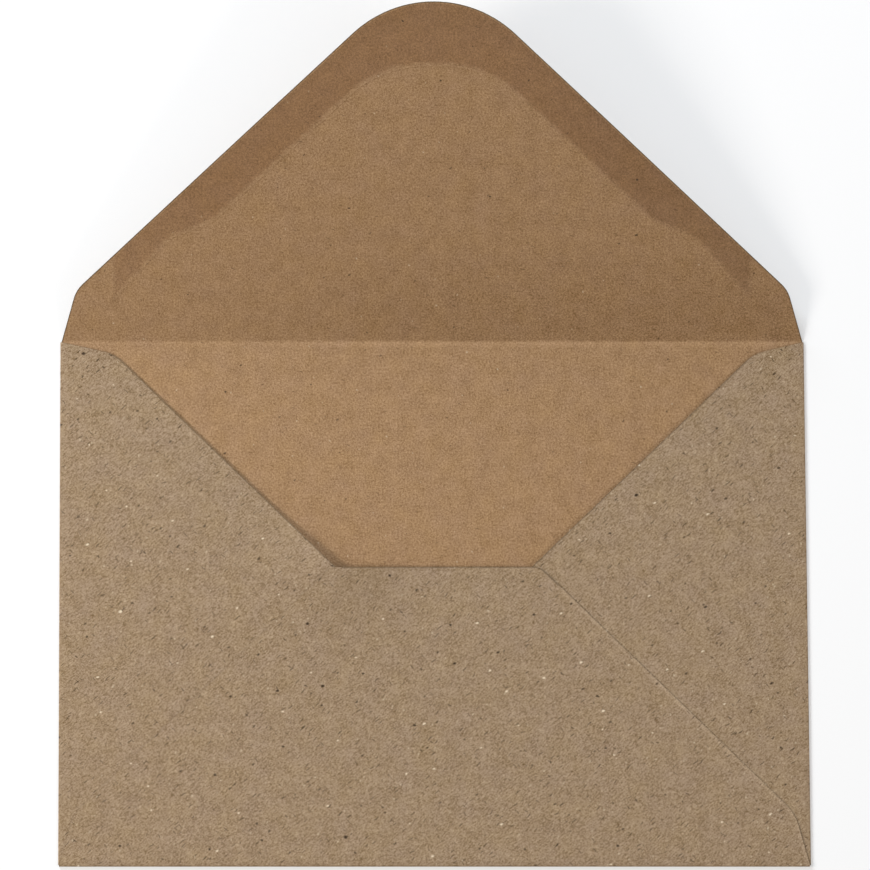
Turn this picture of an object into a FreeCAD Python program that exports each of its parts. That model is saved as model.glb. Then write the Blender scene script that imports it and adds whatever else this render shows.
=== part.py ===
import FreeCAD, Part
import math
import os
import Sketcher

# Brown paper envelope, seen from its back, with the top flap laid open.
# One cut blank is folded on four lines: left, right, bottom and top.
# Plan view: X across, Y from the bottom fold to the mouth, Z up off the table.
# The front panel lies face down on z = 0, with the origin at its middle.

SIZES = [
    ("paper_thickness", 0.16, "Thickness of the brown paper"),
    ("panel_width", 163.0, "Width over the side folds, at the bottom fold"),
    ("panel_height", 113.5, "Bottom fold to the top crease"),
    ("left_draw_in", 0.5, "How far the left fold has come in at the mouth"),
    ("right_draw_in", 1.6, "How far the right fold has come in at the mouth"),
    ("fold_radius", 0.06, "Inner radius of the side folds"),
    ("glue_thickness", 0.05, "Thickness of the dried seam glue"),
    ("back_bulge", 0.5, "Rise of the back, towards the middle of the mouth"),
    ("throat_curl", 2.6, "Extra rise of the back, towards the left end of the throat"),
    ("throat_curl_reach", 8.0, "How far the extra rise spreads"),
    ("flap_point_depth", 81.25, "Crease to where the top flap's straight edges meet"),
    ("flap_point_shift", 0.5, "Flap point to the right of the middle of the mouth"),
    ("flap_tip_radius", 25.7, "Radius of the top flap's tip"),
    ("flap_ear_height", 11.2, "Crease to the top flap's shoulders"),
    ("flap_ear_inset", 3.4, "How far the top flap's shoulders stand in"),
    ("flap_shoulder_radius", 7.0, "Radius of the top flap's shoulders"),
    ("flap_crease_radius", 1.6, "Inner radius of the top crease"),
    ("flap_lift", 20.0, "Slope of the top flap at its crease, in degrees"),
    ("flap_sag", 8.0, "Slope that the top flap has lost at its point, in degrees"),
    ("side_ear_length", 11.05, "Side fold to the side flap's upper shoulder"),
    ("side_ear_drop", 2.5, "Crease down to the side flap's upper shoulder"),
    ("side_foot_length", 10.5, "Side fold to the side flap's lower shoulder"),
    ("side_shoulder_radius", 9.0, "Radius of the side flap's shoulders"),
    ("side_tip_radius", 7.0, "Radius of the side flap's hidden tip"),
    ("throat_width", 42.4, "Gap between the side flaps at the bottom flap's top edge"),
    ("throat_shift", 0.4, "V between the side flaps to the right of the middle of the mouth"),
    ("bottom_flap_depth", 64.9, "Bottom fold to the bottom flap's top edge"),
    ("bottom_flap_top", 45.1, "Width of the bottom flap's top edge"),
    ("bottom_flap_shift", 0.25, "Top edge of the bottom flap to the right of the middle"),
    ("bottom_ear_height", 11.6, "Bottom fold to the bottom flap's shoulders"),
    ("bottom_ear_inset", 3.3, "How far the bottom flap's shoulders stand in"),
    ("bottom_shoulder_radius", 11.0, "Radius of the bottom flap's shoulders"),
    ("bottom_corner_radius", 3.3, "Radius of the bottom flap's top corners"),
    ("seam_overlap", 10.0, "How far a side flap reaches in under a seam edge"),
    ("glue_inset", 2.0, "Seam edge to the glue strip"),
    ("glue_width", 5.5, "Width of the glue strip"),
    ("glue_end_gap", 5.0, "Bottom flap's corners to the ends of the glue strip"),
    ("gum_thickness", 0.04, "Thickness of the dried seal gum"),
    ("gum_edge_gap", 0.4, "Top flap's edge to the seal gum"),
    ("gum_width", 8.9, "Width of the seal gum along the straight edges"),
    ("gum_point_drop", 22.7, "Flap point down to the gum's inner edge at the tip"),
    ("gum_arch_radius", 24.0, "Radius of the gum's inner edge on both sides of the point"),
    ("gum_corner_radius", 8.0, "Radius of the other corners of the gum's inner edge"),
    ("gum_narrow_height", 26.0, "Crease to where the gum starts to narrow"),
    ("gum_knee_height", 22.0, "Crease to the knee of the gum's inner edge"),
    ("gum_knee_inset", 20.3, "Shoulder to the knee of the gum's inner edge, across"),
    ("gum_leave_height", 17.5, "Crease to where the gum leaves the flap's edge"),
    ("gum_end_height", 8.8, "Crease to the ends of the gum"),
    ("gum_end_inset", 8.0, "Shoulder to the end of the gum, across"),
]

doc = FreeCAD.newDocument("paper_envelope")
sheet = doc.addObject("Spreadsheet::Sheet", "sizes")
for row, (alias, number, meaning) in enumerate(SIZES, start=1):
    sheet.set(f"A{row}", meaning)
    sheet.set(f"B{row}", str(number))
    sheet.setAlias(f"B{row}", alias)
doc.recompute()


class Size:
    """A value worked out from the sheet: its number now, and its expression."""

    def __init__(self, value, text):
        self.value = value
        self.text = text

    @staticmethod
    def of(other):
        return other if isinstance(other, Size) else Size(float(other), str(float(other)))

    def __add__(self, other):
        other = Size.of(other)
        return Size(self.value + other.value, f"({self.text} + {other.text})")

    def __sub__(self, other):
        other = Size.of(other)
        return Size(self.value - other.value, f"({self.text} - {other.text})")

    def __mul__(self, other):
        other = Size.of(other)
        return Size(self.value * other.value, f"({self.text} * {other.text})")

    def __truediv__(self, other):
        other = Size.of(other)
        return Size(self.value / other.value, f"({self.text} / {other.text})")

    def __neg__(self):
        return Size(-self.value, f"(-{self.text})")


def cell(alias):
    return Size(float(sheet.get(alias)), f"sizes.{alias}")


def sine(degrees):
    return Size(math.sin(math.radians(degrees.value)), f"sin({degrees.text})")


def cosine(degrees):
    return Size(math.cos(math.radians(degrees.value)), f"cos({degrees.text})")


# Levels of the layers at the folds. A return is the layer that a fold brings back.
thickness = cell("paper_thickness")
glue = cell("glue_thickness")
side_inner_radius = cell("fold_radius")
side_outer_radius = side_inner_radius + thickness
side_return = side_outer_radius + side_inner_radius
glue_level = side_return + thickness
bottom_return = glue_level + glue
bottom_inner_radius = (bottom_return - thickness) / 2
bottom_outer_radius = bottom_inner_radius + thickness

# Plan view: the flat of the front panel ends where each fold starts to bend
half_width = cell("panel_width") / 2
mouth_y = cell("panel_height") / 2
fold_edge_y = -mouth_y
base_y = fold_edge_y + bottom_outer_radius
left_base_x = side_outer_radius - half_width
right_base_x = half_width - side_outer_radius
left_mouth_x = left_base_x + cell("left_draw_in")
right_mouth_x = right_base_x - cell("right_draw_in")
mouth_middle_x = (left_mouth_x + right_mouth_x) / 2

# How far a cutting outline runs on past the paper that it trims
PAST = Size.of(1)


def vector(point):
    """The plan point of a pair of Sizes."""
    return FreeCAD.Vector(point[0].value, point[1].value, 0)


def bind(sketch, kind, where, size, name):
    """Add one dimension to a sketch and tie it to the sheet."""
    index = sketch.addConstraint(Sketcher.Constraint(kind, *where, size.value))
    sketch.renameConstraint(index, name)
    sketch.setExpression(f"Constraints.{name}", size.text)


def place_point(sketch, mark, point, name):
    bind(sketch, "DistanceX", mark, point[0], f"{name}_x")
    bind(sketch, "DistanceY", mark, point[1], f"{name}_y")


class Outline:
    """A closed sketch in plan view, from straight edges and rounded corners.

    A corner is (name, point, radius): the point where its two edges would meet before
    rounding, and the radius as a Size, or None for a sharp corner.
    """

    def __init__(self, name, corners):
        twice_area = sum(
            (corners[i - 1][1].cross(corner[1])).z for i, corner in enumerate(corners))
        if twice_area < 0:
            corners = corners[::-1]
        self.sketch = doc.addObject("Sketcher::SketchObject", name)
        self.names = [corner[0] for corner in corners]
        self.points = [corner[1] for corner in corners]
        self.radii = [corner[2] for corner in corners]
        ends = [self._edge_ends(i) for i in range(len(corners))]
        self.edges = [
            self.sketch.addGeometry(Part.LineSegment(ends[i - 1][1], ends[i][0]), False)
            for i in range(len(corners))
        ]
        self.marks = {self.names[i]: self._join(i, *ends[i]) for i in range(len(corners))}

    def _edge_ends(self, i):
        """Where the edges before and after a corner stop."""
        corner = self.points[i]
        if self.radii[i] is None:
            return corner, corner
        before = (self.points[i - 1] - corner).normalize()
        after = (self.points[(i + 1) % len(self.points)] - corner).normalize()
        reach = self.radii[i].value / math.tan(before.getAngle(after) / 2)
        return corner + before * reach, corner + after * reach

    def _join(self, i, start, stop):
        """Join the edges before and after a corner. Gives the point that dimensions hold."""
        before, after = self.edges[i], self.edges[(i + 1) % len(self.edges)]
        add = self.sketch.addConstraint
        if self.radii[i] is None:
            add(Sketcher.Constraint("Coincident", before, 2, after, 1))
            return after, 1
        corner, radius = self.points[i], self.radii[i]
        inward = ((start + stop) * 0.5 - corner).normalize()
        half_angle = (start - corner).getAngle(inward)
        centre = corner + inward * (radius.value / math.sin(half_angle))
        turns_left = (corner - start).cross(stop - corner).z > 0
        first, last = (start, stop) if turns_left else (stop, start)
        from_angle, to_angle = (math.atan2((p - centre).y, (p - centre).x) for p in (first, last))
        if to_angle < from_angle:
            to_angle += 2 * math.pi
        circle = Part.Circle(centre, FreeCAD.Vector(0, 0, 1), radius.value)
        arc = self.sketch.addGeometry(Part.ArcOfCircle(circle, from_angle, to_angle), False)
        arc_start, arc_stop = (1, 2) if turns_left else (2, 1)
        add(Sketcher.Constraint("Tangent", before, 2, arc, arc_start))
        add(Sketcher.Constraint("Tangent", arc, arc_stop, after, 1))
        bind(self.sketch, "Radius", (arc,), radius, f"{self.names[i]}_radius")
        mark = self.sketch.addGeometry(Part.Point(corner), True)
        add(Sketcher.Constraint("PointOnObject", mark, 1, before))
        add(Sketcher.Constraint("PointOnObject", mark, 1, after))
        return mark, 1

    def edge(self, one, other):
        """The edge between two neighbouring corners."""
        at, to = sorted((self.names.index(one), self.names.index(other)))
        return self.edges[to] if to - at == 1 else self.edges[at]

    def place(self, name, point):
        place_point(self.sketch, self.marks[name], point, name)

    def guide(self, name, line):
        """A construction line between two placed points."""
        index = self.sketch.addGeometry(Part.LineSegment(*map(vector, line)), True)
        for end, point in enumerate(line, start=1):
            place_point(self.sketch, (index, end), point, f"{name}_{end}")
        return index

    def parallel(self, edge, guide, mark, distance, name):
        """Hold an edge parallel to a guide, with one of its points at a distance."""
        self.sketch.addConstraint(Sketcher.Constraint("Parallel", edge, guide))
        bind(self.sketch, "Distance", (*mark, guide), distance, name)


def placed_outline(name, corners):
    """An outline whose every corner has a place of its own: (name, point, radius)."""
    outline = Outline(name, [(label, vector(point), radius) for label, point, radius in corners])
    for label, point, _ in corners:
        outline.place(label, point)
    return outline.sketch


def extrude(name, sketch, direction):
    """Push a sketch along a direction given in Sizes."""
    solid = doc.addObject("Part::Extrusion", name)
    solid.Base = sketch
    solid.DirMode = "Custom"
    solid.Solid = True
    for axis, size in zip("xyz", direction):
        solid.setExpression(f"Dir.{axis}", Size.of(size).text)
    return solid


def trim(name, layer, sketch):
    """Cut a layer of paper to an outline, with a prism that runs well above and below it."""
    height = cell("flap_point_depth")
    prism = extrude(f"{name}_prism", sketch, (0, 0, height))
    prism.setExpression("Placement.Base.z", (-height / 2).text)
    part = doc.addObject("Part::Common", name)
    part.Base = layer
    part.Tool = prism
    return part


def ring_section(name, centre, radii, degrees):
    """A sector of a ring: centre, inner and outer radius, first and last angle."""
    sketch = doc.addObject("Sketcher::SketchObject", name)
    angles = [math.radians(angle.value) for angle in degrees]
    arcs = []
    for label, radius in zip(("inner", "outer"), radii):
        circle = Part.Circle(vector(centre), FreeCAD.Vector(0, 0, 1), radius.value)
        arc = sketch.addGeometry(Part.ArcOfCircle(circle, *angles), False)
        place_point(sketch, (arc, 3), centre, f"{label}_centre")
        bind(sketch, "Radius", (arc,), radius, f"{label}_radius")
        arcs.append(arc)
    inner, outer = arcs
    for end, angle in enumerate(degrees, start=1):
        turn = math.radians(angle.value)
        ray = FreeCAD.Vector(math.cos(turn), math.sin(turn), 0)
        near, far = (vector(centre) + ray * radius.value for radius in radii)
        line = sketch.addGeometry(Part.LineSegment(near, far), False)
        sketch.addConstraint(Sketcher.Constraint("Coincident", line, 1, inner, end))
        sketch.addConstraint(Sketcher.Constraint("Coincident", line, 2, outer, end))
        spoke = sketch.addGeometry(Part.LineSegment(vector(centre), far), True)
        sketch.addConstraint(Sketcher.Constraint("Coincident", spoke, 1, outer, 3))
        sketch.addConstraint(Sketcher.Constraint("Coincident", spoke, 2, outer, end))
        sketch.addConstraint(Sketcher.Constraint("PointOnObject", inner, end, spoke))
        bind(sketch, "Angle", (spoke,), Size(turn, f"{angle.text} * 1 deg"), f"angle_{end}")
    return sketch


# A section stands across the envelope for the side folds, and along it for the others
ACROSS = FreeCAD.Placement(FreeCAD.Vector(), FreeCAD.Rotation(FreeCAD.Vector(1, 0, 0), 90))
ALONG = FreeCAD.Placement(FreeCAD.Vector(), FreeCAD.Rotation(FreeCAD.Vector(1, 1, 1), 120))


def side_fold(name, base_x, mouth_x, outward):
    """A side fold, straight from the bottom fold to the crease."""
    radii = (side_inner_radius, side_outer_radius)
    middle = 90 - 90 * outward
    degrees = (Size.of(middle - 90), Size.of(middle + 90))
    section = ring_section(f"{name}_section", (base_x, side_outer_radius), radii, degrees)
    section.Placement = ACROSS
    section.setExpression("Placement.Base.y", base_y.text)
    return extrude(name, section, (mouth_x - base_x, mouth_y - base_y, 0))


def cross_fold(name, section, start_x, stop_x):
    """Push a section that stands along the envelope across it."""
    section.Placement = ALONG
    section.setExpression("Placement.Base.x", start_x.text)
    return extrude(name, section, (stop_x - start_x, 0, 0))


# The seams are the bottom flap's slanting edges, each from its shoulder up to its top corner
shoulder_y = fold_edge_y + cell("bottom_ear_height")
top_edge_y = fold_edge_y + cell("bottom_flap_depth")
left_seam = (
    (left_base_x + cell("bottom_ear_inset"), shoulder_y),
    (cell("bottom_flap_shift") - cell("bottom_flap_top") / 2, top_edge_y),
)
right_seam = (
    (right_base_x - cell("bottom_ear_inset"), shoulder_y),
    (cell("bottom_flap_shift") + cell("bottom_flap_top") / 2, top_edge_y),
)


# The back rises from nothing at the three folds, and curls up at the left end of the throat
STATIONS_ACROSS = 25
STATIONS_ALONG = 17


def back_height(across, along, point):
    """Rise of the back: across is -1 to 1 between the side folds, along is 0 to 1 up the panel."""
    free = (1 - across ** 2) ** 2 * along ** 2 * (3 - 2 * along)
    off = (point - vector(left_seam[1])).Length / cell("throat_curl_reach").value
    curl = cell("throat_curl").value * math.exp(-off ** 2 / 2)
    return free * (cell("back_bulge").value + curl)


def back_layer(name, level, depth):
    """A slab that follows the back's surface, from the bottom fold to just past the crease."""
    reach = (mouth_y - base_y).value
    lines = []
    for i in range(STATIONS_ACROSS):
        across = 2 * i / (STATIONS_ACROSS - 1) - 1
        line = []
        for j in range(STATIONS_ALONG):
            along = (1 + PAST.value / reach) * j / (STATIONS_ALONG - 1)
            left = left_base_x.value + cell("left_draw_in").value * along
            right = right_base_x.value - cell("right_draw_in").value * along
            x = left + (right - left) * (across + 1) / 2
            point = FreeCAD.Vector(x, base_y.value + reach * along, 0)
            point.z = level.value + back_height(across, along, point)
            line.append(point)
        lines.append(line)
    surface = Part.BSplineSurface()
    surface.interpolate(lines)
    layer = doc.addObject("Part::Feature", name)
    layer.Shape = surface.toShape().extrude(FreeCAD.Vector(0, 0, depth.value))
    return layer


def shifted(line, distance):
    """A line moved sideways, to the right of its run."""
    start, stop = line
    run = (stop - start).normalize()
    move = FreeCAD.Vector(run.y, -run.x, 0) * distance
    return start + move, stop + move


def meet(line, other):
    """Where two lines cross."""
    start, along = line[0], line[1] - line[0]
    across = other[1] - other[0]
    share = (other[0] - start).cross(across).z / along.cross(across).z
    return start + along * share


def at_height(line, y):
    level = (FreeCAD.Vector(0, y.value, 0), FreeCAD.Vector(1, y.value, 0))
    return meet(line, level)


def front_panel():
    outline = placed_outline("front_outline", [
        ("left_base", (left_base_x, base_y), None),
        ("right_base", (right_base_x, base_y), None),
        ("right_mouth", (right_mouth_x, mouth_y), None),
        ("left_mouth", (left_mouth_x, mouth_y), None),
    ])
    return extrude("front_panel", outline, (0, 0, thickness))


def bottom_fold():
    """The bottom fold, wider inside than a side fold because it wraps the side flaps."""
    centre = (base_y, bottom_outer_radius)
    radii = (bottom_inner_radius, bottom_outer_radius)
    section = ring_section("bottom_section", centre, radii, (Size.of(90), Size.of(270)))
    return cross_fold("bottom_fold", section, left_base_x, right_base_x)


def bottom_flap():
    outline = placed_outline("bottom_flap_outline", [
        ("left_base", (left_base_x, base_y), None),
        ("left_past", (left_base_x, base_y - PAST), None),
        ("right_past", (right_base_x, base_y - PAST), None),
        ("right_base", (right_base_x, base_y), None),
        ("right_shoulder", right_seam[0], cell("bottom_shoulder_radius")),
        ("right_corner", right_seam[1], cell("bottom_corner_radius")),
        ("left_corner", left_seam[1], cell("bottom_corner_radius")),
        ("left_shoulder", left_seam[0], cell("bottom_shoulder_radius")),
    ])
    return trim("bottom_flap", back_layer("bottom_flap_layer", bottom_return, thickness), outline)


def side_flap(name, base_x, mouth_x, seam, inward):
    """A side flap. Its hidden edge runs under the seam, and its slanting edge is half of the V."""
    shift = cell("throat_shift")
    upper = (mouth_x + cell("side_ear_length") * inward + shift, mouth_y - cell("side_ear_drop"))
    throat = (mouth_middle_x - cell("throat_width") / 2 * inward + shift, top_edge_y)
    foot_x = base_x + cell("side_foot_length") * inward
    overlap = cell("seam_overlap")
    hidden = shifted([vector(point) for point in seam], overlap.value * inward)
    foot = meet(hidden, (vector((foot_x, base_y)), vector((foot_x, mouth_y))))
    tip = meet(hidden, (vector(upper), vector(throat)))
    past = PAST * inward
    placed = {
        "mouth": (mouth_x, mouth_y),
        "mouth_past": (mouth_x - past, mouth_y),
        "base_past": (base_x - past, base_y),
        "base": (base_x, base_y),
        "upper": upper,
    }
    shoulder = cell("side_shoulder_radius")
    outline = Outline(f"{name}_outline", [
        ("mouth", vector(placed["mouth"]), None),
        ("mouth_past", vector(placed["mouth_past"]), None),
        ("base_past", vector(placed["base_past"]), None),
        ("base", vector(placed["base"]), None),
        ("foot", foot, shoulder),
        ("tip", tip, cell("side_tip_radius")),
        ("upper", vector(upper), shoulder),
    ])
    for label, point in placed.items():
        outline.place(label, point)
    seam_line = outline.guide("seam", seam)
    outline.parallel(outline.edge("foot", "tip"), seam_line, outline.marks["foot"], overlap, "overlap")
    bind(outline.sketch, "DistanceX", outline.marks["foot"], foot_x, "foot_x")
    mark = outline.sketch.addGeometry(Part.Point(vector(throat)), True)
    place_point(outline.sketch, (mark, 1), throat, "throat")
    slant = outline.edge("tip", "upper")
    outline.sketch.addConstraint(Sketcher.Constraint("PointOnObject", mark, 1, slant))
    return trim(name, back_layer(f"{name}_layer", side_return, thickness), outline.sketch)


def seam_glue(name, seam, inward):
    """The dried glue between a side flap and the bottom flap, a strip inside their overlap."""
    inset, gap = cell("glue_inset"), cell("glue_end_gap")
    far_inset = inset + cell("glue_width")
    start, stop = (vector(point) for point in seam)
    run = (stop - start).normalize() * gap.value
    near, far = (shifted((start + run, stop - run), side.value * inward) for side in (inset, far_inset))
    outline = Outline(f"{name}_outline", [
        ("low_near", near[0], None),
        ("low_far", far[0], None),
        ("high_far", far[1], None),
        ("high_near", near[1], None),
    ])
    seam_line = outline.guide("seam", seam)
    marks = outline.marks
    near_edge = outline.edge("low_near", "high_near")
    outline.parallel(near_edge, seam_line, marks["low_near"], inset, "inset")
    far_edge = outline.edge("low_far", "high_far")
    outline.parallel(far_edge, seam_line, marks["low_far"], far_inset, "far_inset")
    for label, end, point in (("low", 1, start + run), ("high", 2, stop - run)):
        edge = outline.edge(f"{label}_near", f"{label}_far")
        outline.sketch.addConstraint(Sketcher.Constraint("Perpendicular", edge, seam_line))
        foot = outline.sketch.addGeometry(Part.Point(point), True)
        for line in (seam_line, edge):
            outline.sketch.addConstraint(Sketcher.Constraint("PointOnObject", foot, 1, line))
        bind(outline.sketch, "Distance", (foot, 1, seam_line, end), gap, f"{label}_gap")
    return trim(name, back_layer(f"{name}_layer", glue_level, glue), outline.sketch)


# Section of the top flap: the crease curls it up, and a long sag lets it down a little
lift = cell("flap_lift")
point_slope = lift - cell("flap_sag")
crease_inner_radius = cell("flap_crease_radius")
crease_outer_radius = crease_inner_radius + thickness
sag_radius = cell("flap_point_depth") / (sine(lift) - sine(point_slope))
crease_centre = (mouth_y, thickness + crease_inner_radius)
sag_centre = (
    crease_centre[0] + sine(lift) * (crease_outer_radius + sag_radius),
    crease_centre[1] - cosine(lift) * (crease_outer_radius + sag_radius),
)

# Plan view of the top flap
flap_shoulder_y = mouth_y + cell("flap_ear_height")
left_shoulder = (left_mouth_x + cell("flap_ear_inset"), flap_shoulder_y)
right_shoulder = (right_mouth_x - cell("flap_ear_inset"), flap_shoulder_y)
flap_point = (mouth_middle_x + cell("flap_point_shift"), mouth_y + cell("flap_point_depth"))


def flap_layer(name, height, depth):
    """A layer of the sagging flap, from a height above its underside."""
    inner = sag_radius + height
    degrees = (point_slope + 90, lift + 90)
    section = ring_section(f"{name}_section", sag_centre, (inner, inner + depth), degrees)
    return cross_fold(name, section, -half_width, half_width)


def top_flap():
    radii = (crease_inner_radius, crease_outer_radius)
    degrees = (Size.of(-90), lift - 90)
    section = ring_section("crease_section", crease_centre, radii, degrees)
    sheet_of_flap = doc.addObject("Part::MultiFuse", "flap_sheet")
    sheet_of_flap.Shapes = [
        cross_fold("crease", section, -half_width, half_width),
        flap_layer("sagging_flap", Size.of(0), thickness),
    ]
    outline = placed_outline("top_flap_outline", [
        ("left_past", (left_mouth_x, mouth_y - PAST), None),
        ("right_past", (right_mouth_x, mouth_y - PAST), None),
        ("right_crease", (right_mouth_x, mouth_y), None),
        ("right_shoulder", right_shoulder, cell("flap_shoulder_radius")),
        ("point", flap_point, cell("flap_tip_radius")),
        ("left_shoulder", left_shoulder, cell("flap_shoulder_radius")),
        ("left_crease", (left_mouth_x, mouth_y), None),
    ])
    return trim("top_flap", sheet_of_flap, outline)


def seal_gum():
    """The band of dried gum on the inside of the top flap, along its edge."""
    edge_gap = cell("gum_edge_gap")
    inner_gap = edge_gap + cell("gum_width")
    radius = cell("gum_corner_radius")
    narrow_y = mouth_y + cell("gum_narrow_height")
    leave_y = mouth_y + cell("gum_leave_height")
    inner_y = flap_point[1] - cell("gum_point_drop")
    knee_y = mouth_y + cell("gum_knee_height")
    end_y = mouth_y + cell("gum_end_height")
    outer_lines, halves = [], []
    for side, shoulder, inward in (("left", left_shoulder, 1), ("right", right_shoulder, -1)):
        edge = (vector(shoulder), vector(flap_point))
        outer = shifted(edge, edge_gap.value * inward)
        inner = shifted(edge, inner_gap.value * inward)
        knee = (shoulder[0] + cell("gum_knee_inset") * inward, knee_y)
        end = (shoulder[0] + cell("gum_end_inset") * inward, end_y)
        outer_lines.append(outer)
        halves.append((side, (shoulder, flap_point), {"knee": knee, "end": end}, [
            (f"{side}_leave", at_height(outer, leave_y), None),
            (f"{side}_end", vector(end), None),
            (f"{side}_knee", vector(knee), radius),
            (f"{side}_narrow", at_height(inner, narrow_y), radius),
            (f"{side}_inner", at_height(inner, inner_y), cell("gum_arch_radius")),
        ]))
    tip = ("tip", meet(*outer_lines), cell("flap_tip_radius") - edge_gap)
    outline = Outline("gum_outline", [tip, *halves[0][3], *halves[1][3][::-1]])
    for side, edge, placed, _ in halves:
        guide = outline.guide(f"{side}_edge", edge)
        marks = outline.marks
        leave, narrow = marks[f"{side}_leave"], marks[f"{side}_narrow"]
        outer_edge = outline.edge(f"{side}_leave", "tip")
        outline.parallel(outer_edge, guide, leave, edge_gap, f"{side}_edge_gap")
        inner_edge = outline.edge(f"{side}_narrow", f"{side}_inner")
        outline.parallel(inner_edge, guide, narrow, inner_gap, f"{side}_inner_gap")
        for label, point in placed.items():
            outline.place(f"{side}_{label}", point)
        for label, y in (("leave", leave_y), ("narrow", narrow_y), ("inner", inner_y)):
            bind(outline.sketch, "DistanceY", marks[f"{side}_{label}"], y, f"{side}_{label}_y")
    film = flap_layer("gum_film", thickness, cell("gum_thickness"))
    return trim("seal_gum", film, outline.sketch)


def folded_sheet():
    """The whole blank, folded: one piece of paper."""
    whole = doc.addObject("Part::MultiFuse", "folded_sheet")
    whole.Shapes = [
        front_panel(),
        side_fold("left_fold", left_base_x, left_mouth_x, -1),
        side_fold("right_fold", right_base_x, right_mouth_x, 1),
        bottom_fold(),
        side_flap("left_side_flap", left_base_x, left_mouth_x, left_seam, 1),
        side_flap("right_side_flap", right_base_x, right_mouth_x, right_seam, -1),
        bottom_flap(),
        top_flap(),
    ]
    return whole


nodes = [
    folded_sheet(),
    seal_gum(),
    seam_glue("seam_glue_left", left_seam, 1),
    seam_glue("seam_glue_right", right_seam, -1),
]
doc.recompute()

for part in doc.Objects:
    if "Invalid" in part.State or "Error" in part.State:
        raise RuntimeError(f"{part.Name} did not build: {part.State}")
for node in nodes:
    if node.Shape.isNull() or not node.Shape.isValid() or len(node.Shape.Solids) != 1:
        raise RuntimeError(f"{node.Label} is not one valid solid")

os.makedirs("parts", exist_ok=True)
for node in nodes:
    node.Shape.exportStep(os.path.join("parts", f"{node.Label}.step"))
    box = node.Shape.BoundBox
    print(node.Label, f"{node.Shape.Volume:.2f} mm3", box)
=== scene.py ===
import math

import bpy
import numpy
from mathutils import Matrix, Vector, noise
from mathutils.geometry import delaunay_2d_cdt


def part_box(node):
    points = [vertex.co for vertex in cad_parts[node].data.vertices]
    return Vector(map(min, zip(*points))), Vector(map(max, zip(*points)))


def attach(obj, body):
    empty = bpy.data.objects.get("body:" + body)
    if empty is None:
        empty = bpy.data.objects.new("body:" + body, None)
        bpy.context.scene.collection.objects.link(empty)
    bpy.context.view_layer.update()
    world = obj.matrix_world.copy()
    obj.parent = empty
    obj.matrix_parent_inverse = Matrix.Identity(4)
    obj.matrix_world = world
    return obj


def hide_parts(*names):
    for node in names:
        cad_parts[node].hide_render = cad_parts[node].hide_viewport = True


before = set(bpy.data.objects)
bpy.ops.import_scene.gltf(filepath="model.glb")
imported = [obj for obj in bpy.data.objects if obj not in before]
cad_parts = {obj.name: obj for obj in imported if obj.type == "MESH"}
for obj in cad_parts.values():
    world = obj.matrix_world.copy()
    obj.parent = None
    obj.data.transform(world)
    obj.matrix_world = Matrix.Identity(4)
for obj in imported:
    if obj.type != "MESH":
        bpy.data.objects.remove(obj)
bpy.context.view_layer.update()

bl_info = {
    "name": "Brown paper envelope",
    "version": (1, 0, 0),
    "blender": (4, 5, 0),
    "location": "3D View > Sidebar > Envelope",
    "description": "An envelope folded from one blank, seen from its back with the top flap open",
    "category": "Object",
}

MM = 0.001
sheet_low, sheet_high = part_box("folded_sheet")


# Sizes and colours that a user would change

def length(name, description, millimetres):
    return bpy.props.FloatProperty(
        name=name, description=description, default=millimetres * MM, unit="LENGTH", precision=5)


def angle(name, description, degrees):
    return bpy.props.FloatProperty(
        name=name, description=description, default=math.radians(degrees), unit="ROTATION")


def colour(name, description, red, green, blue):
    """A colour property, from the 0 to 255 numbers that a screen shows."""
    return bpy.props.FloatVectorProperty(
        name=name, description=description, default=linear(red, green, blue), subtype="COLOR",
        size=3, min=0, max=1)


def linear(*screen):
    shares = [number / 255 for number in screen]
    return tuple(s / 12.92 if s <= 0.04045 else ((s + 0.055) / 1.055) ** 2.4 for s in shares)


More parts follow.
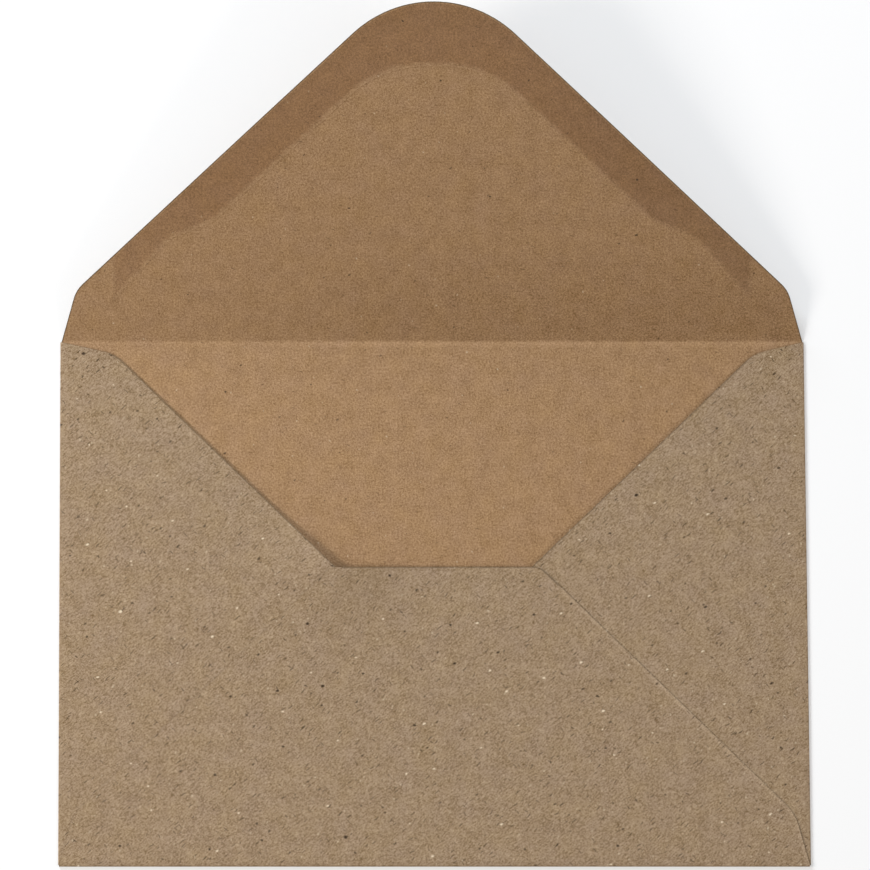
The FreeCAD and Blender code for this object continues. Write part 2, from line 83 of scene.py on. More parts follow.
class SheetSizes(bpy.types.PropertyGroup):
    paper_thickness: length("Paper thickness", "Thickness of the brown paper", 0.16)
    panel_width: length(
        "Panel width", "Width over the side folds, at the bottom fold",
        (sheet_high[0] - sheet_low[0]) / MM)
    panel_height: length("Panel height", "Bottom fold to the top crease", -2 * sheet_low[1] / MM)
    left_draw_in: length("Left draw-in", "How far the left fold has come in at the mouth", 0.5)
    right_draw_in: length("Right draw-in", "How far the right fold has come in at the mouth", 1.6)
    fold_radius: length("Fold radius", "Inner radius of the side folds", 0.06)
    glue_thickness: length("Glue thickness", "Thickness of the dried seam glue", 0.05)
    back_bulge: length("Back bulge", "Rise of the back, towards the middle of the mouth", 0.5)
    throat_curl: length(
        "Throat curl", "Extra rise of the back, towards the left end of the throat", 2.6)
    throat_curl_reach: length("Throat curl reach", "How far the extra rise spreads", 8)
    lifted_corner: length("Lifted corner", "How far down the right seam the bottom flap stands free", 4)
    ripple: length("Ripple", "Height of the faint waves in the back and the flap", 0.10)
    flap_point_depth: length(
        "Flap point depth", "Crease to where the top flap's straight edges meet", 81.25)
    flap_point_shift: length(
        "Flap point shift", "Flap point to the right of the middle of the mouth", 0.5)
    flap_tip_radius: length("Flap tip radius", "Radius of the top flap's tip", 25.7)
    flap_ear_height: length("Flap ear height", "Crease to the top flap's shoulders", 11.2)
    flap_ear_inset: length("Flap ear inset", "How far the top flap's shoulders stand in", 3.4)
    flap_shoulder_radius: length("Flap shoulder radius", "Radius of the top flap's shoulders", 7)
    flap_crease_radius: length("Crease radius", "Inner radius of the top crease", 1.6)
    flap_lift: angle("Flap lift", "Slope of the top flap at its crease", 20)
    flap_sag: angle("Flap sag", "Slope that the top flap has lost at its point", 8)
    side_ear_length: length("Side ear length", "Side fold to the side flap's upper shoulder", 11.05)
    side_ear_drop: length("Side ear drop", "Crease down to the side flap's upper shoulder", 2.5)
    side_foot_length: length("Side foot length", "Side fold to the side flap's lower shoulder", 10.5)
    side_shoulder_radius: length("Side shoulder radius", "Radius of the side flap's shoulders", 9)
    side_tip_radius: length("Side tip radius", "Radius of the side flap's hidden tip", 7)
    throat_width: length(
        "Throat width", "Gap between the side flaps at the bottom flap's top edge", 42.4)
    throat_shift: length(
        "Throat shift", "V between the side flaps to the right of the middle of the mouth", 0.4)
    bottom_flap_depth: length("Bottom flap depth", "Bottom fold to the bottom flap's top edge", 64.9)
    bottom_flap_top: length("Bottom flap top", "Width of the bottom flap's top edge", 45.1)
    bottom_flap_shift: length(
        "Bottom flap shift", "Top edge of the bottom flap to the right of the middle", 0.25)
    bottom_ear_height: length("Bottom ear height", "Bottom fold to the bottom flap's shoulders", 11.6)
    bottom_ear_inset: length("Bottom ear inset", "How far the bottom flap's shoulders stand in", 3.3)
    bottom_shoulder_radius: length(
        "Bottom shoulder radius", "Radius of the bottom flap's shoulders", 11)
    bottom_corner_radius: length("Bottom corner radius", "Radius of the bottom flap's top corners", 3.3)
    seam_overlap: length("Seam overlap", "How far a side flap reaches in under a seam edge", 10)
    mesh_step: length("Mesh step", "Size of the faces of the paper's mesh", 1.4)


class FilmSizes(bpy.types.PropertyGroup):
    glue_inset: length("Glue inset", "Seam edge to the glue strip", 2)
    glue_width: length("Glue width", "Width of the glue strip", 5.5)
    glue_end_gap: length("Glue end gap", "Bottom flap's corners to the ends of the glue strip", 5)
    gum_thickness: length("Gum thickness", "Thickness of the dried seal gum", 0.04)
    gum_edge_gap: length("Gum edge gap", "Top flap's edge to the seal gum", 0.4)
    gum_width: length("Gum width", "Width of the seal gum along the straight edges", 8.9)
    gum_point_drop: length("Gum point drop", "Flap point down to the gum's inner edge at the tip", 22.7)
    gum_arch_radius: length(
        "Gum arch radius", "Radius of the gum's inner edge on both sides of the point", 24)
    gum_corner_radius: length(
        "Gum corner radius", "Radius of the other corners of the gum's inner edge", 8)
    gum_narrow_height: length("Gum narrow height", "Crease to where the gum starts to narrow", 26)
    gum_knee_height: length("Gum knee height", "Crease to the knee of the gum's inner edge", 22)
    gum_knee_inset: length(
        "Gum knee inset", "Shoulder to the knee of the gum's inner edge, across", 20.3)
    gum_leave_height: length("Gum leave height", "Crease to where the gum leaves the flap's edge", 17.5)
    gum_end_height: length("Gum end height", "Crease to the ends of the gum", 8.8)
    gum_end_inset: length("Gum end inset", "Shoulder to the end of the gum, across", 8)


class PaperColours(bpy.types.PropertyGroup):
    outer: colour("Outer face", "Rough outer face of the paper", 158, 135, 108)
    inner: colour("Inner face", "Smooth inner face of the paper", 163, 130, 95)
    # Also laid on the faces next to the free edges, partly as painted shade.
    cut_edge: colour("Cut edge", "Dusty cut edge of the paper", 80, 64, 44)
    dark_fleck: colour("Dark fleck", "Bark and ink in the pulp", 50, 35, 22)
    pale_fleck: colour("Pale fleck", "Bleached fibre in the pulp", 226, 208, 180)
    gum: colour("Gum", "Brown tint of the dried seal gum, over the paper", 220, 209, 196)
    glue: colour("Glue", "Dried seam glue", 214, 200, 168)
    floor: colour("Floor", "Table top", 220, 220, 220)


# Folding: from a point of the flat blank to its place on the folded envelope

TOUCH = 1e-7


def in_bend(radius, level, turn):
    """How far out and how high a level of the paper is, at a turn round a bend."""
    arm = radius - level
    return arm * math.sin(turn), radius - arm * math.cos(turn)


class SideFold:
    """A side fold's line on the blank, from the bottom fold to the mouth.

    The blank adds what lies on its side: the seam, from the bottom flap's shoulder to its top
    corner, the top flap's shoulder, and the points of the top flap's short edge, its ear.
    """

    def __init__(self, base, mouth, inward):
        self.base, self.mouth = Vector(base), Vector(mouth)
        self.inward = inward
        run = (self.mouth - self.base).normalized()
        self.out = Vector((run.y, -run.x)) * -inward

    def beyond(self, point):
        """How far a point lies outside the fold line."""
        return (point - self.base).dot(self.out)


class Blank:
    """The cut blank: its fold lines, its outline and the place of each of its points.

    On the blank, the front panel lies where it is in the row frame and the four flaps are laid out
    flat round it. A level is a height in the paper, from 0 on its outer face to its thickness on
    its inner face.
    """

    BEND_ROWS = 8
    CREASE_ROWS = 5
    DOWN = Vector((0, -1))
    # Spacing and seed of the faint waves
    BACK_WAVE = (34 * MM, 2.5)
    FLAP_WAVE = (40 * MM, 7.5)

    def __init__(self, sizes):
        self.sizes = sizes
        self.faces_across = math.ceil(sizes.panel_width / sizes.mesh_step)
        self.faces_up = math.ceil(sizes.panel_height / sizes.mesh_step)
        thickness = sizes.paper_thickness
        self.side_radius = sizes.fold_radius + thickness
        self.glue_level = 2 * self.side_radius
        self.bottom_radius = (self.glue_level + sizes.glue_thickness + thickness) / 2
        self.crease_radius = sizes.flap_crease_radius + thickness
        half_width = sizes.panel_width / 2
        self.mouth_y = sizes.panel_height / 2
        self.base_y = self.bottom_radius - self.mouth_y
        left_x = self.side_radius - half_width
        right_x = half_width - self.side_radius
        self.left = SideFold(
            (left_x, self.base_y), (left_x + sizes.left_draw_in, self.mouth_y), 1)
        self.right = SideFold(
            (right_x, self.base_y), (right_x - sizes.right_draw_in, self.mouth_y), -1)
        self.folds = (self.left, self.right)
        self.mouth_middle = (self.left.mouth.x + self.right.mouth.x) / 2
        self.side_bend = math.pi * (self.side_radius - thickness / 2)
        self.bottom_bend = math.pi * (self.bottom_radius - thickness / 2)
        self.crease_bend = sizes.flap_lift * (self.crease_radius - thickness / 2)
        slopes = math.sin(sizes.flap_lift) - math.sin(sizes.flap_lift - sizes.flap_sag)
        self.sag_radius = sizes.flap_point_depth / slopes
        reach = self.crease_radius + self.sag_radius
        self.sag_centre = Vector((
            self.mouth_y + math.sin(sizes.flap_lift) * reach,
            self.crease_radius - math.cos(sizes.flap_lift) * reach,
        ))
        base_top = sizes.bottom_flap_depth - self.mouth_y
        half_top = sizes.bottom_flap_top / 2
        shoulder_y = sizes.bottom_ear_height - self.mouth_y
        for fold, fold_x in ((self.left, left_x), (self.right, right_x)):
            fold.seam = (
                Vector((fold_x + sizes.bottom_ear_inset * fold.inward, shoulder_y)),
                Vector((sizes.bottom_flap_shift - half_top * fold.inward, base_top)),
            )
            fold.shoulder = Vector((
                fold.mouth.x + sizes.flap_ear_inset * fold.inward,
                self.mouth_y + sizes.flap_ear_height))
            fold.ear = self.flap_ear(fold)
        self.flap_point = Vector((
            self.mouth_middle + sizes.flap_point_shift, self.mouth_y + sizes.flap_point_depth))

    def back_height(self, x, y):
        """Rise of the back: none at the three folds, most at the left end of the throat."""
        along = (y - self.base_y) / (self.mouth_y - self.base_y)
        left = self.left.base.x + self.sizes.left_draw_in * along
        right = self.right.base.x - self.sizes.right_draw_in * along
        across = (2 * x - left - right) / (right - left)
        free = max(0.0, 1 - across ** 2)
        off = (Vector((x, y)) - self.left.seam[1]).length / self.sizes.throat_curl_reach
        curl = self.sizes.throat_curl * math.exp(-off ** 2 / 2)
        rise = free ** 2 * along ** 2 * (3 - 2 * along) * (self.sizes.back_bulge + curl)
        return rise + self.wave(x, y, *self.BACK_WAVE) * min(1.0, 2 * free) * min(1.0, 3 * along)

    def wave(self, x, y, spacing, seed):
        """A faint wave of the paper."""
        return self.sizes.ripple * noise.noise(Vector((x / spacing, y / spacing, seed)))

    def place(self, point, level):
        """Where a point of the blank goes, in the row frame."""
        for fold in self.folds:
            beyond = fold.beyond(point)
            if beyond > TOUCH:
                return self.place_side(fold, point, beyond, level)
        if point.y > self.mouth_y:
            return self.place_top(point.x, point.y - self.mouth_y, level)
        if point.y < self.base_y:
            return self.place_bottom(point.x, self.base_y - point.y, level)
        return Vector((point.x, point.y, level))

    def place_side(self, fold, point, beyond, level):
        foot = point - fold.out * beyond
        if beyond < self.side_bend:
            out, height = in_bend(self.side_radius, level, math.pi * beyond / self.side_bend)
            over = foot + fold.out * out
            return Vector((over.x, over.y, height))
        over = foot - fold.out * (beyond - self.side_bend)
        rise = self.back_height(over.x, over.y)
        return Vector((over.x, over.y, 2 * self.side_radius - level + rise))

    def place_bottom(self, x, beyond, level):
        if beyond < self.bottom_bend:
            out, height = in_bend(self.bottom_radius, level, math.pi * beyond / self.bottom_bend)
            return Vector((x, self.base_y - out, height))
        y = self.base_y + beyond - self.bottom_bend
        return Vector((x, y, 2 * self.bottom_radius - level + self.back_height(x, y)))

    def place_top(self, x, beyond, level):
        """The top flap curls up at the crease, and a long sag lets it down a little."""
        if beyond < self.crease_bend:
            turn = self.sizes.flap_lift * beyond / self.crease_bend
            out, height = in_bend(self.crease_radius, level, turn)
            return Vector((x, self.mouth_y + out, height))
        sagged = (beyond - self.crease_bend) / (self.sag_radius + self.sizes.paper_thickness / 2)
        slope = self.sizes.flap_lift - sagged
        wave = self.wave(x, beyond, *self.FLAP_WAVE) * min(1.0, beyond / self.sizes.flap_ear_height)
        arm = self.sag_radius + level + wave
        y = self.sag_centre.x - arm * math.sin(slope)
        return Vector((x, y, self.sag_centre.y + arm * math.cos(slope)))

    def on_back(self, point, level):
        """Where a point of the glue goes: on the side flaps, in plan."""
        rise = self.back_height(point.x, point.y)
        return Vector((point.x, point.y, self.glue_level + level + rise))

    def flat_side(self, fold, point):
        """A point of a folded side flap in plan, laid out on the blank."""
        return point + fold.out * (self.side_bend - 2 * fold.beyond(point))

    def flat_bottom(self, point):
        return Vector((point.x, 2 * self.base_y - self.bottom_bend - point.y))

    def flat_top(self, point):
        """A point of the raised top flap in plan, laid out on the blank."""
        middle = self.sizes.paper_thickness / 2
        arm = self.crease_radius - middle
        rise = point.y - self.mouth_y
        if rise < arm * math.sin(self.sizes.flap_lift):
            return Vector((point.x, self.mouth_y + arm * math.asin(rise / arm)))
        arm = self.sag_radius + middle
        slope = math.asin((self.sag_centre.x - point.y) / arm)
        beyond = self.crease_bend + (self.sizes.flap_lift - slope) * arm
        return Vector((point.x, self.mouth_y + beyond))

    def flap_ear(self, fold):
        """Where the rows of the crease end on the top flap's short edge, in plan."""
        arm = self.crease_radius - self.sizes.paper_thickness / 2
        slopes = [self.sizes.flap_lift * k / self.CREASE_ROWS for k in range(self.CREASE_ROWS + 1)]
        shares = [arm * math.sin(slope) / self.sizes.flap_ear_height for slope in slopes]
        return [fold.mouth.lerp(fold.shoulder, share) for share in shares]

    def top_path(self):
        """The top flap's edge in plan, from its right end at the crease to its left end."""
        sizes = self.sizes
        left, right = (
            [*((p, 0) for p in fold.ear), (fold.shoulder, sizes.flap_shoulder_radius)]
            for fold in self.folds)
        corners = [*right, (self.flap_point, sizes.flap_tip_radius), *left[::-1]]
        return rounded_path(corners, sizes.mesh_step)

    def side_path(self, fold):
        """A side flap's edge in plan, from the mouth to the bottom fold."""
        sizes = self.sizes
        inward, shift = fold.inward, sizes.throat_shift
        upper = fold.mouth + Vector((sizes.side_ear_length * inward + shift, -sizes.side_ear_drop))
        throat_x = self.mouth_middle - sizes.throat_width / 2 * inward + shift
        throat = Vector((throat_x, fold.seam[1].y))
        hidden = shifted(fold.seam, sizes.seam_overlap * inward)
        foot_x = fold.base.x + sizes.side_foot_length * inward
        foot = meet(hidden, (Vector((foot_x, self.base_y)), Vector((foot_x, self.mouth_y))))
        tip = meet(hidden, (upper, throat))
        corners = [
            (fold.mouth, 0),
            (upper, sizes.side_shoulder_radius),
            (tip, sizes.side_tip_radius),
            (foot, sizes.side_shoulder_radius),
            (fold.base, 0),
        ]
        return rounded_path(corners, sizes.mesh_step)

    def bottom_path(self):
        """The bottom flap's edge in plan, from its left end to its right end."""
        sizes = self.sizes
        radii = (0, sizes.bottom_shoulder_radius, sizes.bottom_corner_radius)
        left, right = (list(zip((fold.base, *fold.seam), radii)) for fold in self.folds)
        return rounded_path([*left, *right[::-1]], sizes.mesh_step)

    def bend_ends(self, corner, way, width):
        """Where the rows along a bend end, out from a corner of the front panel."""
        return [corner + way * (width * k / self.BEND_ROWS) for k in range(self.BEND_ROWS + 1)]

    def flap_edges(self):
        """The cut edges of the top, left, bottom and right flaps, laid out on the blank."""
        top = [self.flat_top(p) for p in self.top_path()]
        bottom = [self.flat_bottom(p) for p in self.bottom_path()]
        left, right = (
            [self.flat_side(fold, p) for p in self.side_path(fold)] for fold in self.folds)
        return top, left, bottom, right

    def free_and_pasted(self):
        """The edges that stand free, and the bottom flap's edges that are pasted down."""
        top, left, bottom, right = self.flap_edges()
        ear_y = self.mouth_y - self.sizes.side_ear_drop
        left, right = ([p for p in edge if p.y < ear_y] for edge in (left, right))
        left_end = self.left.seam[1].x + self.sizes.bottom_corner_radius / 2
        lifted_y = self.flat_bottom(self.right.seam[1]).y + self.sizes.lifted_corner
        throat = [p for p in bottom if p.x > left_end and p.y < lifted_y]
        left_seam = [p for p in bottom if p.x <= left_end]
        right_seam = [p for p in bottom if p.x > left_end and p.y >= lifted_y]
        return (top, left, right, throat), (left_seam, right_seam)

    def outline(self):
        """The blank's edge, anticlockwise from the right end of the crease."""
        top, left_edge, bottom, right_edge = self.flap_edges()
        left, right = (
            [
                *self.bend_ends(fold.mouth, fold.out, self.side_bend),
                *edge,
                *self.bend_ends(fold.base, fold.out, self.side_bend)[::-1],
                *self.bend_ends(fold.base, self.DOWN, self.bottom_bend),
            ]
            for fold, edge in ((self.left, left_edge), (self.right, right_edge)))
        return without_repeats([*top, *left, *bottom, *right[::-1]])

    def rows(self):
        """Rows of points along the folds, which the mesh follows."""
        rows = []
        for fold in self.folds:
            ends = [self.bend_ends(end, fold.out, self.side_bend) for end in (fold.base, fold.mouth)]
            rows += [divided(start, stop, self.faces_up) for start, stop in zip(*ends)]
        ends = [self.bend_ends(fold.base, self.DOWN, self.bottom_bend) for fold in self.folds]
        ears = [[self.flat_top(p) for p in fold.ear] for fold in self.folds]
        for start, stop in [*zip(*ends), *zip(*ears)]:
            rows.append(divided(start, stop, self.faces_across))
        return rows

    def grid(self):
        """Points in the panels between the folds, in line with the rows."""
        step, across, up = self.sizes.mesh_step, self.faces_across, self.faces_up
        points = []
        lines = [divided(fold.base, fold.mouth, up) for fold in self.folds]
        for start, stop in list(zip(*lines))[1:-1]:
            points += divided(start, stop, across)[1:-1]
        for fold, line in zip(self.folds, lines):
            for k in range(1, up):
                points += [p + fold.out * (self.side_bend + step * k) for p in line]
        for x in (p.x for p in divided(self.left.base, self.right.base, across)):
            points += [Vector((x, self.base_y - self.bottom_bend - step * k)) for k in range(1, up)]
            points += [Vector((x, self.mouth_y + self.crease_bend + step * k)) for k in range(1, up)]
        return points


def shifted(line, distance):
    """A line moved sideways, to the right of its run."""
    run = (line[1] - line[0]).normalized()
    move = Vector((run.y, -run.x)) * distance
    return line[0] + move, line[1] + move


def meet(line, other):
    """Where two lines cross, past their ends too."""
    start, along = line[0], line[1] - line[0]
    across = other[1] - other[0]
    return start + along * ((other[0] - start).cross(across) / along.cross(across))


def at_height(line, y):
    return meet(line, (Vector((0, y)), Vector((1, y))))


def divided(start, stop, count):
    return [start.lerp(stop, k / count) for k in range(count + 1)]


def without_repeats(points):
    """A closed path without the points that repeat the one before."""
    return [p for i, p in enumerate(points) if (p - points[i - 1]).length > TOUCH]


# Least number of runs in an arc
ARC_FACES = 6


def rounded_path(corners, step):
    """Points along straight runs and tangent arcs, from the first corner to the last.

    A corner is (point, radius): where its two runs would meet before rounding, and the radius,
    or 0 where it is sharp.
    """
    points = [corners[0][0]]
    for i in range(1, len(corners)):
        corner, radius = corners[i]
        arc = [corner]
        if radius:
            before = (corners[i - 1][0] - corner).normalized()
            after = (corners[i + 1][0] - corner).normalized()
            half = before.angle(after) / 2
            start = corner + before * (radius / math.tan(half))
            centre = corner + (before + after).normalized() * (radius / math.sin(half))
            sweep = math.copysign(math.pi - 2 * half, after.cross(before))
            faces = max(ARC_FACES, math.ceil(abs(sweep) * radius / step))
            arc = [
                centre + Matrix.Rotation(sweep * k / faces, 2) @ (start - centre)
                for k in range(faces + 1)]
        runs = max(1, math.ceil((arc[0] - points[-1]).length / step))
        points += divided(points[-1], arc[0], runs)[1:]
        points += arc[1:]
    return points


def closed_path(corners, step):
    """A closed path round a film, from the middle of the run before its first corner."""
    middle = (corners[-1][0] + corners[0][0]) / 2
    return rounded_path([(middle, 0), *corners, (middle, 0)], step)[:-1]


# Meshes: a flat outline is divided into faces, then each of its points is put in place

# Share of the mesh step that the grid keeps off the outline
CLEARANCE = 0.45
# Points measured at a time
CHUNK = 2000
SHARP_ANGLE = math.radians(50)


def distances(points, path, closed):
    """How far each point is from a path, and whether it is inside a closed one."""
    points, starts = ([tuple(p) for p in line] for line in (points, path))
    starts = numpy.array(starts)
    stops = numpy.roll(starts, -1, axis=0)
    if not closed:
        starts, stops = starts[:-1], stops[:-1]
    runs = stops - starts
    rises = numpy.where(runs[:, 1] == 0, 1.0, runs[:, 1])
    squares = (runs ** 2).sum(axis=1)
    near, inside = [], []
    for first in range(0, len(points), CHUNK):
        here = numpy.array(points[first:first + CHUNK])[:, None, :]
        off = here - starts
        share = numpy.clip((off * runs).sum(axis=2) / squares, 0, 1)
        near.append(numpy.sqrt(((off - share[..., None] * runs) ** 2).sum(axis=2)).min(axis=1))
        crossed = (starts[:, 1] > here[..., 1]) != (stops[:, 1] > here[..., 1])
        hit_x = starts[:, 0] + off[..., 1] / rises * runs[:, 0]
        inside.append((crossed & (hit_x > here[..., 0])).sum(axis=1) % 2 == 1)
    return numpy.concatenate(near), numpy.concatenate(inside)


def nearest(points, paths):
    """How far each point is from the nearest of some open paths."""
    return numpy.min([distances(points, path, False)[0] for path in paths], axis=0)


def divide(outline, rows, grid, step):
    """Triangles that fill an outline. Gives their points and corners."""
    near, inside = distances(grid, outline, True)
    points = list(outline)
    edges = [(i, (i + 1) % len(outline)) for i in range(len(outline))]
    for row in rows:
        first = len(points)
        points += row
        edges += [(i, i + 1) for i in range(first, len(points) - 1)]
    points += [p for p, gap, kept in zip(grid, near, inside) if kept and gap > CLEARANCE * step]
    inside_constraints = 1
    points, _, faces, *_ = delaunay_2d_cdt(points, edges, [], inside_constraints, TOUCH)
    return points, faces


def slab(name, points, faces, place, levels, paths):
    """A thin sheet between two levels, with its rim closed.

    Its faces are on material 0 below, 1 above and 2 on the rim. The attribute "blank" holds each
    point's place on the blank, and each name in paths holds its distance from those open paths,
    in millimetres.
    """
    count = len(points)
    places = [place(point, level) for level in levels for point in points]
    rim = []
    edges = {(face[i - 1], face[i]) for face in faces for i in range(len(face))}
    for start, stop in sorted(edges):
        if (stop, start) not in edges:
            rim.append((start, stop, stop + count, start + count))
    below = [tuple(reversed(face)) for face in faces]
    above = [tuple(i + count for i in face) for face in faces]
    mesh = bpy.data.meshes.new(name)
    mesh.from_pydata(places, [], below + above + rim)
    materials = [0] * len(below) + [1] * len(above) + [2] * len(rim)
    mesh.polygons.foreach_set("material_index", materials)
    blank = mesh.attributes.new("blank", "FLOAT_VECTOR", "POINT")
    flat = [number for p in points for number in (p.x / MM, p.y / MM, 0)]
    blank.data.foreach_set("vector", flat * len(levels))
    for attribute, lines in paths.items():
        gap = mesh.attributes.new(attribute, "FLOAT", "POINT")
        gap.data.foreach_set("value", list(nearest(points, lines) / MM) * len(levels))
    mesh.validate()
    mesh.shade_smooth()
    mesh.set_sharp_from_angle(angle=SHARP_ANGLE)
    piece = bpy.data.objects.new(name, mesh)
    bpy.context.scene.collection.objects.link(piece)
    return piece


def film(name, outline, place, levels, step, paths):
    """A thin film in a closed outline."""
    xs, ys = [p.x for p in outline], [p.y for p in outline]
    grid = [
        Vector((min(xs) + i * step, min(ys) + j * step))
        for i in range(math.ceil((max(xs) - min(xs)) / step))
        for j in range(math.ceil((max(ys) - min(ys)) / step))
    ]
    points, faces = divide(outline, [], grid, step)
    return slab(name, points, faces, place, levels, paths)


def fit(piece, node, materials):
    """Give a piece its materials, and let it stand for its CAD node."""
    for material in materials:
        piece.data.materials.append(material)
    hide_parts(node)
    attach(piece, "root")


# Materials

class Wire:
    """A node's output, for use in Python expressions of values."""

    def __init__(self, shader, socket):
        self.shader = shader
        self.socket = socket

    def sibling(self, output):
        """Another output of the same node."""
        return Wire(self.shader, self.socket.node.outputs[output])

    def __add__(self, other):
        return self.shader.math("ADD", self, other)

    def __sub__(self, other):
        return self.shader.math("SUBTRACT", self, other)

    def __rsub__(self, other):
        return self.shader.math("SUBTRACT", other, self)

    def __mul__(self, other):
        return self.shader.math("MULTIPLY", self, other)

    def __lt__(self, other):
        return self.shader.math("LESS_THAN", self, other)

    __radd__ = __add__
    __rmul__ = __mul__


class Shader:
    """The nodes of a material or a world."""

    def __init__(self, owner):
        self.owner = owner
        owner.use_nodes = True
        self.tree = owner.node_tree
        self.tree.nodes.clear()

    def add(self, kind, settings, values, output=0):
        """One node. Its settings come first, then the values or links of its sockets."""
        node = self.tree.nodes.new(kind)
        for name, setting in settings.items():
            setattr(node, name, setting)
        for name, value in values.items():
            named = (s for s in node.inputs if s.enabled and s.name == name)
            socket = node.inputs[name] if isinstance(name, int) else next(named)
            if isinstance(value, Wire):
                self.tree.links.new(value.socket, socket)
            else:
                socket.default_value = value
        outputs = [s for s in node.outputs if s.enabled]
        if not outputs:
            return None
        chosen = outputs[output] if isinstance(output, int) else node.outputs[output]
        return Wire(self, chosen)

    def math(self, operation, first, second):
        return self.add("ShaderNodeMath", {"operation": operation}, {0: first, 1: second})

    def vector_math(self, operation, *values):
        return self.add("ShaderNodeVectorMath", {"operation": operation}, dict(enumerate(values)))

    def mixed(self, share, first, second):
        """From the first colour to the second as the share goes from 0 to 1."""
        return self.add("ShaderNodeMix", {"data_type": "RGBA"}, {
            "Factor": share, "A": opaque(first), "B": opaque(second)})

    def scaled(self, tint, share):
        """A colour or vector times a value."""
        return self.add("ShaderNodeVectorMath", {"operation": "SCALE"}, {
            "Vector": tint, "Scale": share})

    def times(self, tint, other):
        """A colour times another, channel by channel."""
        return self.add("ShaderNodeMix", {"data_type": "RGBA", "blend_type": "MULTIPLY"}, {
            "Factor": 1.0, "A": opaque(tint), "B": opaque(other)})

    def toned(self, tint, tone):
        """A colour made lighter or darker. Dark pulp keeps more of its red than of its blue."""
        shares = self.vector_math("ADD", self.scaled(PULP_CHANGE, tone - 1), (1, 1, 1))
        return self.vector_math("MULTIPLY", tint, shares)

    def ramp(self, value, low, high):
        """0 where a value is at low, 1 at high, and a soft rise between."""
        return self.add("ShaderNodeMapRange", {"interpolation_type": "SMOOTHSTEP"}, {
            "Value": value, "From Min": low, "From Max": high})

    def turned(self, place, degrees, scales, shift):
        """The place turned, then stretched."""
        turn = self.add("ShaderNodeVectorRotate", {"rotation_type": "Z_AXIS"}, {
            "Vector": place, "Angle": math.radians(degrees)})
        return self.add("ShaderNodeMapping", {}, {
            "Vector": turn, "Scale": (*scales, 1), "Location": (shift, shift, shift)})

    def grain(self, place, per_millimetre, detail, seed):
        """Soft noise about 0, with most of it between -0.3 and 0.3."""
        shift = self.turned(place, 0, (1, 1), seed)
        return self.add("ShaderNodeTexNoise", {"noise_dimensions": "2D"}, {
            "Vector": shift, "Scale": per_millimetre, "Detail": detail, "Roughness": 0.6}) - 0.5

    def speckle(self, place, per_millimetre, seed):
        """Small patches, each of an even value from -0.5 to 0.5."""
        laid = self.turned(place, 15, (1, 1), seed)
        patch = self.add(
            "ShaderNodeTexVoronoi", {"voronoi_dimensions": "2D"},
            {"Vector": laid, "Scale": per_millimetre}, "Color")
        return self.add("ShaderNodeSeparateColor", {}, {"Color": patch}, "Red") - 0.5

    def finish(self, tint, roughness, specular, height, depth):
        """Principled shader with a bump of that depth in metres."""
        bump = self.add("ShaderNodeBump", {}, {"Height": height, "Distance": depth})
        surface = self.add("ShaderNodeBsdfPrincipled", {}, {
            "Base Color": tint, "Roughness": roughness, "Specular IOR Level": specular,
            "Normal": bump})
        self.add("ShaderNodeOutputMaterial", {}, {"Surface": surface})
        return self.owner


PULP_CHANGE = (0.87, 1.0, 1.22)
YELLOW = (1.02, 1.0, 0.90)
ROSY = (0.99, 0.99, 1.07)
# Part of the largest fleck's width that the smallest has
SMALLEST_FLECK = 0.35


def opaque(tint):
    """A colour with its alpha, as a colour socket takes it."""
    return tint if isinstance(tint, Wire) else (*tint[:3], 1)


def blank_place(shader):
    return shader.add("ShaderNodeAttribute", {"attribute_name": "blank"}, {}, "Vector")


def gap_to(shader, name):
    """Distance from the paths that an attribute is measured from, in millimetres."""
    return shader.add("ShaderNodeAttribute", {"attribute_name": name}, {}, "Fac")


def part_of(shader, place, axis):
    return shader.add("ShaderNodeSeparateXYZ", {}, {"Vector": place}, axis)


def shaken(shader, place, amount, per_millimetre):
    """The place moved about by noise, so that flecks get uneven shapes."""
    shake = shader.add("ShaderNodeTexNoise", {"noise_dimensions": "2D"}, {
        "Vector": place, "Scale": per_millimetre, "Detail": 1.0}, "Color")
    return shader.vector_math("MULTIPLY_ADD", shake, (amount, amount, 0), place)


def flecks(shader, place, spacing, kept, size, aspect, degrees, seed):
    """Mask of scattered flecks.

    There is one in each square of the spacing and a share of them is kept. The size is the half
    width of the largest before it is stretched. Lengths are in millimetres.
    """
    stretch = math.sqrt(aspect)
    scales = (1 / (spacing * stretch), stretch / spacing)
    laid = shader.turned(place, degrees, scales, seed)
    distance = shader.add(
        "ShaderNodeTexVoronoi", {"voronoi_dimensions": "2D"}, {"Vector": laid, "Scale": 1.0},
        "Distance")
    luck = shader.add("ShaderNodeSeparateColor", {}, {"Color": distance.sibling("Color")}, "Red")
    reach = size / spacing
    radius = (luck.sibling("Green") * (1 - SMALLEST_FLECK) + SMALLEST_FLECK) * reach
    return shader.ramp(radius - distance, 0.0, 0.5 * reach) * (luck < kept)


def flecked(shader, tint, colour, kinds):
    """A tint with named kinds of flecks laid over it, one after the other.

    A kind is its strength, place, spacing, share kept, size, aspect, degrees and seed.
    """
    for name, (strength, place, *shape) in kinds.items():
        tint = shader.mixed(flecks(shader, place, *shape) * strength, tint, colour)
        tint.socket.node.label = name
    return tint


def tinged(shader, place, tint, seed):
    """Soft patches that are a little yellower or rosier than the rest."""
    patch = shader.grain(place, 0.16, 2.0, seed)
    return shader.times(tint, shader.mixed(0.5 + patch, ROSY, YELLOW))


